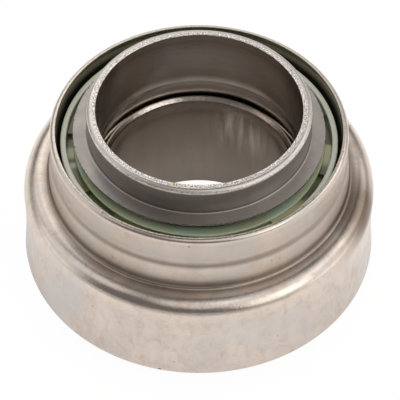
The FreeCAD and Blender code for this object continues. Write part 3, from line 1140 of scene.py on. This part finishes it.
@dataclass
class Workshop:
    """The node tree for turned pieces and the finishes, made once and shared."""

    turning: TurningTree
    tree: Tree
    shell_steel: bpy.types.Material
    ring_steel: bpy.types.Material
    cage_nylon: bpy.types.Material
    ball_steel: bpy.types.Material

    @classmethod
    def open(cls) -> "Workshop":
        """Make the tree and the finishes.

        Returns:
            The workshop.
        """
        turning = TurningTree()
        return cls(turning, turning.build(), ShellSteel("tumbled_drawn_steel").material(),
                   RingSteel("drawn_ring_steel").material(), CageNylon("green_polyamide").material(),
                   BallSteel("lapped_ball_steel").material())

    def turn(self, node: str, body: Body, slot: str, section: HalfSection, material: bpy.types.Material,
             steps: int, chip_depth: float, seed: float) -> None:
        """Turn a half section into a piece that stands for a solid and rides on its body.

        Args:
            node: the solid that the piece stands for.
            body: the body it rides on.
            slot: the record's material slot; not used.
            section: the half section.
            material: the finish.
            steps: number of steps round the axis.
            chip_depth: deepest chip in a sheared edge.
            seed: seed of the chips.
        """
        piece = evaluated(f"{node}_turned", self.turning.section_mesh(section), self.tree,
                          {"Steps": steps, "Chip Depth": chip_depth * MM, "Seed": seed, "Material": material})
        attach(piece, body.value)
        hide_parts(node)
        LOG.info("%s: %d faces on %s", piece.name, len(piece.data.polygons), body.value)


@dataclass
class Shell:
    """Stepped shell, the carrier disc in its skirt and the guide sleeve."""

    sizes: BearingSizes
    skirt_bell: float = 0.72
    shoulder_round: float = 2.4
    shoulder_land: float = 0.6
    foot_fillet: float = 0.45
    waist_above_ball: float = 0.73
    waist_outer_round: float = 1.0
    waist_fillet: float = 1.0
    base_edge_round: float = 0.08
    rim_outer_round: float = 0.6
    rim_inner_round: float = 0.1
    # Sweep in degrees and wear of each stretch of the rim's outer round; the worn stretch also paints a
    # highlight and glints.
    rim_round_wear_and_highlight: Levels = ((60.0, 0.0), (30.0, 0.4))
    rim_flat_wear: float = 0.75
    rim_inner_wear: float = 0.5
    # A short step beside a worn edge keeps its shading off the long wall.
    edge_band: float = 0.08
    sleeve_sheet: float = 1.0
    sleeve_gap: float = 0.3
    sleeve_below_ring: float = 0.13
    sleeve_lead_in: float = 0.25
    sleeve_lead_length: float = 2.5
    sleeve_outer_round: float = 0.15
    sleeve_bevel_width: float = 0.4
    sleeve_bevel_height: float = 0.45
    sleeve_chamfer: float = 0.2
    sleeve_edge_wear: float = 0.3
    sleeve_top_wear: float = 0.2
    sleeve_pitch: float = 0.1
    disc_sheet: float = 1.0
    disc_bend: float = 2.0
    disc_hub_length: float = 6.5
    disc_rim_length: float = 5.0
    disc_wear: float = 0.5

    @property
    def foot_z(self) -> float:
        """Height that the fillet at the neck's foot is struck from."""
        return self.sizes.shoulder_z + self.foot_fillet

    @property
    def foot_radius(self) -> float:
        """Radius that the fillet at the neck's foot is struck from."""
        return self.sizes.neck_cone_radius(self.sizes.shell_sheet + self.foot_fillet, self.foot_z)

    @property
    def skirt_radius(self) -> float:
        """Outer radius of the skirt at the shoulder."""
        return self.foot_radius + self.shoulder_land + self.shoulder_round

    @property
    def sleeve_radius(self) -> float:
        """Outer radius of the guide sleeve."""
        return self.sizes.lip_bore_radius - self.sleeve_gap

    def shell_section(self) -> HalfSection:
        """Draw the stepped shell, from the skirt's edge up the outside and down the inside.

        Returns:
            The half section.
        """
        sizes = self.sizes
        neck = sizes.neck_bore + sizes.shell_sheet
        round_radius = self.foot_radius + self.shoulder_land
        round_z = sizes.shoulder_z - self.shoulder_round
        rise = round_z - sizes.shell_base_z
        bell = (rise ** 2 + self.skirt_bell ** 2) / (2 * self.skirt_bell)
        taper = math.radians(sizes.neck_taper)
        waist_z = sizes.ball_z + self.waist_above_ball
        waist_radius = sizes.neck_cone_radius(sizes.shell_sheet, waist_z)
        waist_reach = self.waist_outer_round + self.waist_fillet
        waist_arc_radius = waist_radius - self.waist_outer_round * math.cos(taper)
        waist_arc_z = waist_z - self.waist_outer_round * math.sin(taper)
        waist = math.acos((neck + self.waist_fillet - waist_arc_radius) / waist_reach)
        track = math.acos((sizes.neck_bore - sizes.pitch_radius) / sizes.track_radius)
        foot_arc = sizes.shell_sheet + self.foot_fillet
        edge_z = sizes.shell_base_z + self.base_edge_round
        edge_rise = round_z - edge_z
        edge_radius = self.skirt_radius + bell - math.sqrt(bell ** 2 - edge_rise ** 2)
        rim_round_z = sizes.rim_z - self.rim_outer_round
        rim_inner_z = sizes.rim_z - self.rim_inner_round

        section = HalfSection(edge_radius - self.base_edge_round, sizes.shell_base_z)
        section.line(edge_radius, edge_z, steps=3)
        section.arc(self.skirt_radius + bell, round_z, -math.degrees(math.asin(edge_rise / bell)))
        section.arc(round_radius, round_z, 90)
        section.line(self.foot_radius, sizes.shoulder_z)
        section.arc(self.foot_radius, self.foot_z, sizes.neck_taper - 90)
        section.line(waist_radius, waist_z, steps=4)
        section.arc(waist_arc_radius, waist_arc_z, math.degrees(waist) - sizes.neck_taper)
        section.arc(neck + self.waist_fillet, waist_arc_z + waist_reach * math.sin(waist),
                    -math.degrees(waist))
        section.line(neck, rim_round_z - self.edge_band, steps=6)
        section.line(neck, rim_round_z)
        for sweep, wear in self.rim_round_wear_and_highlight:
            section.arc(neck - self.rim_outer_round, rim_round_z, sweep, wear_and_highlight=wear)
        section.line(sizes.neck_bore + self.rim_inner_round, sizes.rim_z, wear_and_highlight=self.rim_flat_wear)
        section.arc(sizes.neck_bore + self.rim_inner_round, rim_inner_z, 90, wear_and_highlight=self.rim_inner_wear)
        section.line(sizes.neck_bore, rim_inner_z - self.edge_band)
        section.line(sizes.neck_bore, sizes.ball_z + sizes.track_radius * math.sin(track), steps=6)
        section.arc(sizes.pitch_radius, sizes.ball_z, sizes.neck_taper - math.degrees(track))
        section.line(self.foot_radius - foot_arc * math.cos(taper), self.foot_z - foot_arc * math.sin(taper))
        section.arc(self.foot_radius, self.foot_z, 90 - sizes.neck_taper)
        section.line(round_radius, sizes.shoulder_z - sizes.shell_sheet)
        section.arc(round_radius, round_z, -90)
        section.arc(self.skirt_radius + bell, round_z,
                    math.degrees(math.asin(rise / (bell + sizes.shell_sheet))))
        return section

    def sleeve_section(self) -> HalfSection:
        """Draw the guide sleeve, from its lower end up the outside and down the bore.

        Returns:
            The half section.
        """
        bore = self.sleeve_radius - self.sleeve_sheet
        lead = (self.sleeve_lead_length ** 2 + self.sleeve_lead_in ** 2) / (2 * self.sleeve_lead_in)
        lead_angle = math.asin(self.sleeve_lead_length / lead)
        top = self.sizes.ring_foot_z - self.sleeve_below_ring
        outer_z = top - self.sleeve_outer_round
        mouth = bore + self.sleeve_lead_in
        mouth_z = top - self.sleeve_bevel_height
        section = HalfSection(bore + self.sleeve_chamfer, 0.0, self.sleeve_pitch)
        section.line(self.sleeve_radius - self.sleeve_chamfer, 0.0)
        section.line(self.sleeve_radius, self.sleeve_chamfer)
        section.line(self.sleeve_radius, outer_z, steps=4)
        section.arc(self.sleeve_radius - self.sleeve_outer_round, outer_z, 90, wear_and_highlight=self.sleeve_edge_wear)
        section.line(mouth + self.sleeve_bevel_width, top, steps=2, wear_and_highlight=self.sleeve_top_wear)
        section.line(mouth, mouth_z, steps=4, wear_and_highlight=self.sleeve_edge_wear)
        section.arc(bore + lead, mouth_z - self.sleeve_lead_length, math.degrees(lead_angle))
        section.line(bore, self.sleeve_chamfer, steps=4)
        return section

    def disc_section(self) -> HalfSection:
        """Draw the carrier disc, from its hub up over the top to the rim and back below.

        Returns:
            The half section.
        """
        sizes = self.sizes
        top = sizes.shoulder_z - sizes.shell_sheet - sizes.press_gap
        hub = self.sleeve_radius + sizes.press_gap
        rim = self.skirt_radius - sizes.shell_sheet - sizes.press_gap
        rim_end = top - self.disc_rim_length
        bend_z = top - self.disc_bend
        section = HalfSection(hub, top - self.disc_hub_length)
        section.line(hub, bend_z)
        section.arc(hub + self.disc_bend, bend_z, -90)
        section.line(rim - self.disc_bend, top)
        section.arc(rim - self.disc_bend, bend_z, -90)
        section.line(rim, rim_end, wear_and_highlight=self.disc_wear)
        section.line(rim - self.disc_sheet, rim_end, wear_and_highlight=self.disc_wear)
        section.line(rim - self.disc_sheet, bend_z)
        section.arc(rim - self.disc_bend, bend_z, 90)
        section.line(hub + self.disc_bend, top - self.disc_sheet)
        section.arc(hub + self.disc_bend, bend_z, 90)
        section.line(hub + self.disc_sheet, top - self.disc_hub_length)
        return section

    def build(self, shop: Workshop) -> None:
        """Build and dress the three pieces.

        Args:
            shop: the shared tree and finishes.
        """
        shop.turn("outer_shell", Body.SHELL, "drawn_steel", self.shell_section(), shop.shell_steel,
                  steps=480, chip_depth=0.05, seed=3.0)
        shop.turn("guide_sleeve", Body.SHELL, "ring_steel", self.sleeve_section(), shop.ring_steel,
                  steps=360, chip_depth=0.05, seed=5.0)
        shop.turn("carrier_disc", Body.SHELL, "drawn_steel", self.disc_section(), shop.shell_steel,
                  steps=360, chip_depth=0.04, seed=7.0)


@dataclass
class Ring:
    """Inner ring with its trimmed collar, and the shield washer pressed on it."""

    sizes: BearingSizes
    flare_length: float = 3.0
    lip_length: float = 0.9
    lip_round: float = 0.15
    outer_round: float = 0.6
    inner_round: float = 0.12
    # Width of the bright band painted on the collar's flat next to the bore.
    highlight_band_width: float = 0.46
    # Sweep in degrees and wear of each stretch of the collar's outer round; the shares rise and fall to paint
    # bright and dark highlight lines across the round.
    collar_round_wear_and_highlight: Levels = ((12.0, 0.1), (26.0, 0.45), (42.0, 0.05), (10.0, 0.3))
    collar_flat_wear: float = 0.35
    collar_highlight_wear: float = 0.9
    edge_band: float = 0.08
    ring_pitch: float = 0.1
    washer_thickness: float = 0.35
    washer_width: float = 1.8
    washer_below_rim: float = 0.33
    washer_dish_angle: float = 1.5
    washer_fillet: float = 0.15
    washer_lip: float = 0.05
    washer_wear: float = 1.0
    washer_pitch: float = 0.08
    burr_size: float = 0.11
    burr_share: float = 0.45
    burr_places: int = 170

    def ring_section(self) -> HalfSection:
        """Draw the inner ring, from the collar's rim down the bore and up the outside.

        Returns:
            The half section.
        """
        sizes = self.sizes
        flare = (self.flare_length ** 2 + sizes.flare_offset ** 2) / (4 * sizes.flare_offset)
        flare_sweep = 2 * math.degrees(math.atan(sizes.flare_offset / self.flare_length))
        lip_top = sizes.ring_foot_z + self.lip_length
        flare_top = lip_top + self.flare_length
        race_end = sizes.race_centre_radius - sizes.race_radius * math.cos(math.radians(sizes.race_end_angle))
        outer_z = sizes.collar_z - self.outer_round
        inner_z = sizes.collar_z - self.inner_round
        section = HalfSection(sizes.bore_radius, inner_z, self.ring_pitch)
        section.line(sizes.bore_radius, inner_z - self.edge_band)
        section.line(sizes.bore_radius, flare_top, steps=6)
        section.arc(sizes.bore_radius + flare, flare_top, flare_sweep)
        section.arc(sizes.lip_bore_radius - flare, lip_top, -flare_sweep)
        section.line(sizes.lip_bore_radius, sizes.ring_foot_z + self.lip_round)
        section.arc(sizes.lip_bore_radius + self.lip_round, sizes.ring_foot_z + self.lip_round, 90)
        section.line(race_end, sizes.ring_foot_z)
        section.line(race_end, sizes.race_end_z)
        section.arc(sizes.race_centre_radius, sizes.race_centre_z, -sizes.race_end_angle)
        section.line(sizes.collar_radius, outer_z - self.edge_band, steps=6)
        section.line(sizes.collar_radius, outer_z)
        # Stretches of wear round the rim paint bright and dark highlight lines and glints.
        for sweep, wear in self.collar_round_wear_and_highlight:
            section.arc(sizes.collar_radius - self.outer_round, outer_z, sweep, wear_and_highlight=wear)
        section.line(sizes.bore_radius + self.highlight_band_width, sizes.collar_z, steps=2,
                     wear_and_highlight=self.collar_flat_wear)
        section.line(sizes.bore_radius + self.inner_round, sizes.collar_z, steps=4,
                     wear_and_highlight=self.collar_highlight_wear)
        section.arc(sizes.bore_radius + self.inner_round, inner_z, 90, wear_and_highlight=self.collar_highlight_wear)
        return section

    def washer_section(self) -> HalfSection:
        """Draw the shield washer, from its lip out over the top and back below.

        Returns:
            The half section.
        """
        sizes = self.sizes
        dish = math.radians(self.washer_dish_angle)
        inner = sizes.collar_radius + sizes.press_gap
        outer = inner + self.washer_width
        foot = inner + self.washer_lip + self.washer_fillet
        top_z = sizes.rim_z - self.washer_below_rim
        edge_z = top_z - math.tan(dish) * (outer - foot)
        under_z = edge_z - self.washer_thickness / math.cos(dish)
        section = HalfSection(inner, top_z + self.washer_fillet, self.washer_pitch)
        section.line(inner + self.washer_lip, top_z + self.washer_fillet)
        section.arc(foot, top_z + self.washer_fillet, 90)
        section.line(outer, edge_z, steps=8)
        section.line(outer, under_z, steps=4, wear_and_highlight=self.washer_wear)
        section.line(inner, under_z + math.tan(dish) * self.washer_width, steps=2)
        return section

    def build(self, shop: Workshop) -> None:
        """Build and dress the two pieces and the burrs.

        Args:
            shop: the shared tree and finishes.
        """
        shop.turn("inner_ring", Body.RING, "ring_steel", self.ring_section(), shop.ring_steel,
                  steps=720, chip_depth=0.06, seed=11.0)
        washer = self.washer_section()
        shop.turn("shield_washer", Body.RING, "ring_steel", washer, shop.ring_steel,
                  steps=600, chip_depth=0.09, seed=13.0)
        self.build_burrs(shop, max(washer.points, key=lambda point: (round(point.radius, 3), point.height)))

    def build_burrs(self, shop: Workshop, edge: SectionPoint) -> None:
        """Set burrs along the washer's blanked edge.

        Args:
            shop: the shared tree and finishes.
            edge: the washer's upper outer corner.
        """
        burrs = evaluated("washer_burrs", bpy.data.meshes.new("start"), BurrTree().build(),
                          {"Radius": (edge.radius - self.burr_size / 2) * MM, "Height": edge.height * MM,
                           "Share": self.burr_share, "Size": self.burr_size * MM, "Places": self.burr_places,
                           "Material": shop.ring_steel})
        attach(burrs, Body.RING.value)
        LOG.info("%s: %d faces on %s", burrs.name, len(burrs.data.polygons), Body.RING.value)


@dataclass
class BallRow:
    """Crown cage and its balls."""

    sizes: BearingSizes

    def dress(self, shop: Workshop, nodes: dict[str, bpy.types.Object]) -> None:
        """Dress the cage and the balls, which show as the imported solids.

        Args:
            shop: the shared tree and finishes.
            nodes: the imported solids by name.
        """
        finishes = {"ball_cage": shop.cage_nylon}
        for index in range(self.sizes.ball_count):
            finishes[f"ball_{index + 1:02d}"] = shop.ball_steel
        for name, material in finishes.items():
            nodes[name].material_slots[0].material = material
            LOG.info("%s: dressed in %s", name, material.name)


@dataclass(frozen=True)
class Panel:
    """A soft patch of light on the studio's dome."""

    azimuth: float
    elevation: float
    half_angle: float
    soft_edge: float
    level: float

    @property
    def direction(self) -> Vector:
        """Direction to the patch; azimuth 0 is behind the camera, positive to its right."""
        turn, rise = math.radians(self.azimuth), math.radians(self.elevation)
        return Vector((math.sin(turn) * math.cos(rise), -math.cos(turn) * math.cos(rise), math.sin(rise)))


@dataclass
class Studio:
    """White floor, a dim dome with soft light panels, and the camera."""

    camera_distance: float = 187.1
    camera_elevation: float = 49.76
    aim_height: float = 10.0
    lens: float = 124.41
    sensor_width: float = 36.0
    near_clip: float = 10.0
    roll: float = 0.295
    shift: float = 0.003
    floor_size: float = 3000.0
    floor_white: float = 0.97
    paper: str = "f6f5f3"
    dome_colour: tuple[float, float, float, float] = (1.0, 0.985, 0.965, 1.0)
    dome_level: float = 0.22
    horizon_level: float = 0.6
    horizon_top: float = 19.0
    backdrop_level: float = 0.95
    overhead_power: float = 3.4
    overhead_size: float = 900.0
    overhead_height: float = 700.0
    panels: tuple[Panel, ...] = (
        Panel(45, 34, 16, 8, 1.6),
        Panel(85, 26, 26, 14, 1.0),
        Panel(124, 36, 15, 9, 1.5),
        Panel(75, 62, 16, 14, 0.75),
        Panel(-88, 22, 17, 9, 0.85),
        Panel(5, 63, 17, 10, 0.85),
        Panel(180, 34, 20, 11, 0.85),
        Panel(-150, 44, 15, 9, 0.9),
        Panel(-118, 34, 13, 9, 0.7),
        Panel(-88, 56, 13, 10, 0.9),
    )

    def build_floor(self) -> None:
        """Lay a white paper floor that the camera sees as plain white."""
        half = self.floor_size / 2 * MM
        mesh = bpy.data.meshes.new("floor")
        mesh.from_pydata([(-half, -half, 0), (half, -half, 0), (half, half, 0), (-half, half, 0)], [],
                         [(0, 1, 2, 3)])
        floor = add_object("floor", mesh)
        material = bpy.data.materials.new("white_paper")
        tree = empty_tree(material)
        paper = add_node(tree, "ShaderNodeBsdfDiffuse", {"Color": linear(self.paper)})
        white = add_node(tree, "ShaderNodeEmission", {"Color": (1.0, 1.0, 1.0, 1.0), "Strength": 1.0})
        path = add_node(tree, "ShaderNodeLightPath")
        share = add_node(tree, "ShaderNodeMath", {0: path.outputs["Is Camera Ray"], 1: self.floor_white},
                         operation="MULTIPLY")
        seen = add_node(tree, "ShaderNodeMixShader",
                        {0: share.outputs[0], 1: paper.outputs[0], 2: white.outputs[0]})
        add_node(tree, "ShaderNodeOutputMaterial", {"Surface": seen.outputs[0]})
        mesh.materials.append(material)

    def build_dome(self) -> None:
        """Surround the part with a dim dome that has a paler horizon and soft panels."""
        world = bpy.data.worlds.new("studio")
        bpy.context.scene.world = world
        tree = empty_tree(world)
        place = add_node(tree, "ShaderNodeTexCoord").outputs["Generated"]
        rise = add_node(tree, "ShaderNodeSeparateXYZ", {0: place})
        total = add_node(tree, "ShaderNodeMapRange",
                         {"Value": rise.outputs["Z"],
                          "From Min": math.sin(math.radians(self.horizon_top / 3)),
                          "From Max": math.sin(math.radians(self.horizon_top)),
                          "To Min": self.dome_level + self.horizon_level, "To Max": self.dome_level},
                         interpolation_type=Ease.SOFT.value)
        for panel in self.panels:
            near = add_node(tree, "ShaderNodeVectorMath", {0: place, 1: panel.direction},
                            operation="DOT_PRODUCT")
            inner_angle = max(0.0, panel.half_angle - panel.soft_edge)
            glow = add_node(tree, "ShaderNodeMapRange",
                            {"Value": near.outputs["Value"],
                             "From Min": math.cos(math.radians(panel.half_angle + panel.soft_edge)),
                             "From Max": math.cos(math.radians(inner_angle)),
                             "To Min": 0.0, "To Max": panel.level}, interpolation_type=Ease.SOFT.value)
            total = add_node(tree, "ShaderNodeMath", {0: total.outputs[0], 1: glow.outputs[0]},
                             operation="ADD")
        dome = add_node(tree, "ShaderNodeBackground",
                        {"Color": self.dome_colour, "Strength": total.outputs[0]})
        backdrop = add_node(tree, "ShaderNodeBackground",
                            {"Color": (1.0, 1.0, 1.0, 1.0), "Strength": self.backdrop_level})
        path = add_node(tree, "ShaderNodeLightPath")
        seen = add_node(tree, "ShaderNodeMixShader",
                        {0: path.outputs["Is Camera Ray"], 1: dome.outputs[0], 2: backdrop.outputs[0]})
        add_node(tree, "ShaderNodeOutputWorld", {"Surface": seen.outputs[0]})

    def build_overhead(self) -> None:
        """Hang a soft lamp that lights the floor and doesn't show in the steel."""
        lamp = bpy.data.lights.new("overhead", "AREA")
        lamp.size = self.overhead_size * MM
        lamp.energy = self.overhead_power
        overhead = add_object("overhead", lamp)
        overhead.location = (0, 0, self.overhead_height * MM)
        overhead.visible_glossy = False

    def build_camera(self) -> None:
        """Stand the camera where the photograph was taken from."""
        rise = math.radians(self.camera_elevation)
        aim = Vector((0, 0, self.aim_height * MM))
        stand = aim + Vector((0, -math.cos(rise), math.sin(rise))) * self.camera_distance * MM
        lens = bpy.data.cameras.new("camera")
        lens.lens = self.lens
        lens.sensor_width = self.sensor_width
        lens.shift_x = self.shift
        lens.clip_start = self.near_clip * MM
        camera = add_object("camera", lens)
        camera.location = stand
        camera.rotation_mode = "QUATERNION"
        look = (aim - stand).to_track_quat("-Z", "Y")
        camera.rotation_quaternion = look @ Quaternion((0, 0, 1), math.radians(self.roll))
        bpy.context.scene.camera = camera

    def build(self) -> None:
        """Build the floor, the light and the camera."""
        self.build_floor()
        self.build_dome()
        self.build_overhead()
        self.build_camera()
        bpy.context.scene.view_settings.view_transform = "Standard"


def main() -> None:
    """Load the frame, build the sub-assemblies and the studio."""
    logging.basicConfig(level=logging.INFO, format="%(name)s: %(message)s")
    for stray in list(bpy.data.objects):
        bpy.data.objects.remove(stray)
    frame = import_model()
    sizes = BearingSizes()
    shop = Workshop.open()
    Shell(sizes).build(shop)
    Ring(sizes).build(shop)
    BallRow(sizes).dress(shop, frame["nodes"])
    Studio().build()


if __name__ == "__main__":
    main()
